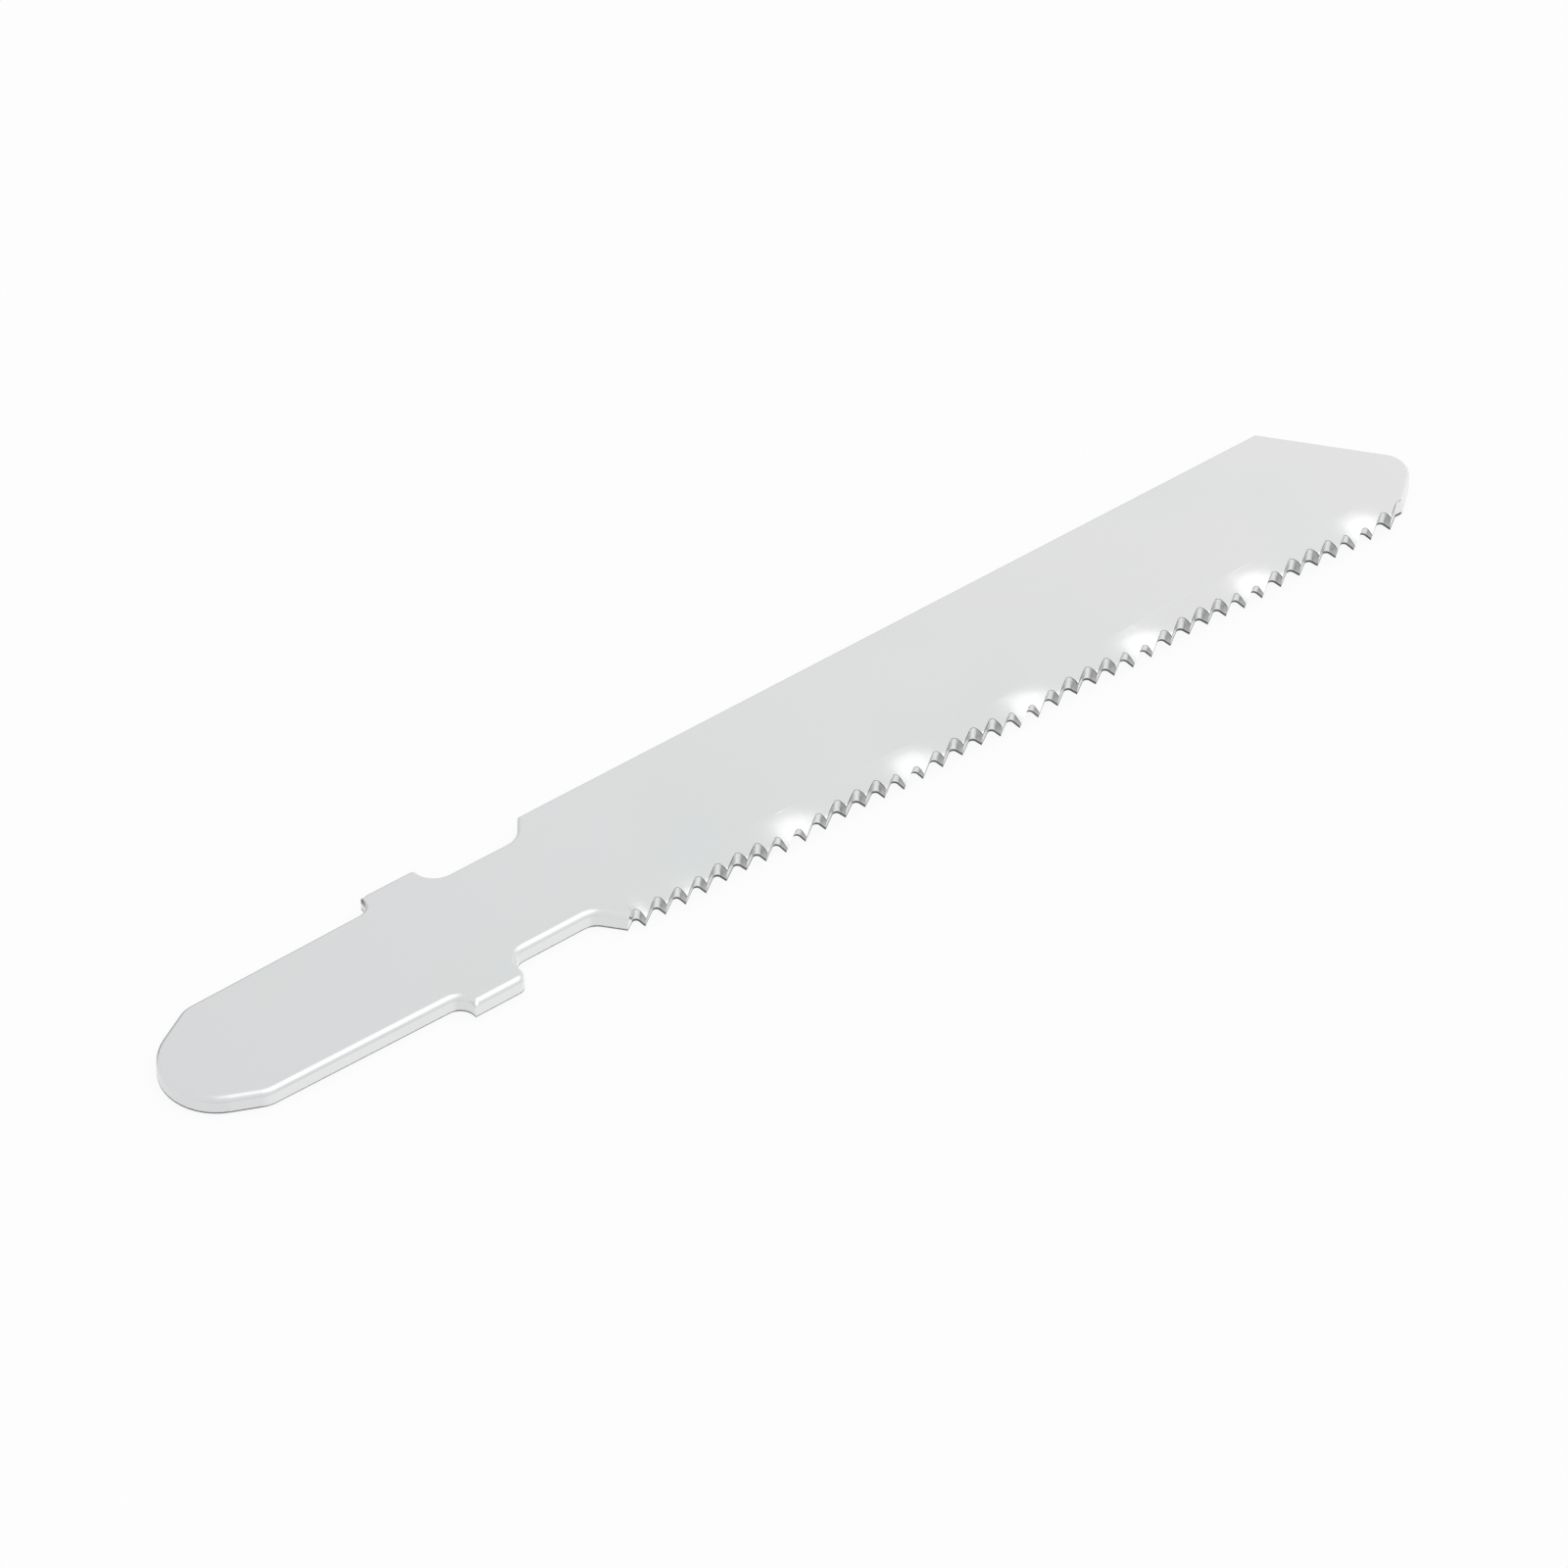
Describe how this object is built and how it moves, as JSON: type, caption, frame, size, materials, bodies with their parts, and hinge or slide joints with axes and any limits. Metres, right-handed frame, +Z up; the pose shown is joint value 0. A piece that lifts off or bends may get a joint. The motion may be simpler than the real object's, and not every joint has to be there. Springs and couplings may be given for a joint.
{
  "type": "jigsaw blade",
  "caption": "Flat steel jigsaw blade with a T-shank for a toolless clamp, an angled point and fine milled teeth with a wavy set for cutting sheet metal.",
  "frame": {"origin": "Centre of the clamp lug, the cross of the T, on the blade's lower face", "axes": "X runs from the tang to the free end, Y from the teeth to the back, Z up through the plate's thickness"},
  "size_m": [0.0743, 0.0092, 0.0011],
  "materials": {
    "blade_steel": "satin"
  },
  "bodies": {
    "root": {"blade": "blade_steel"}
  },
  "joints": []
}
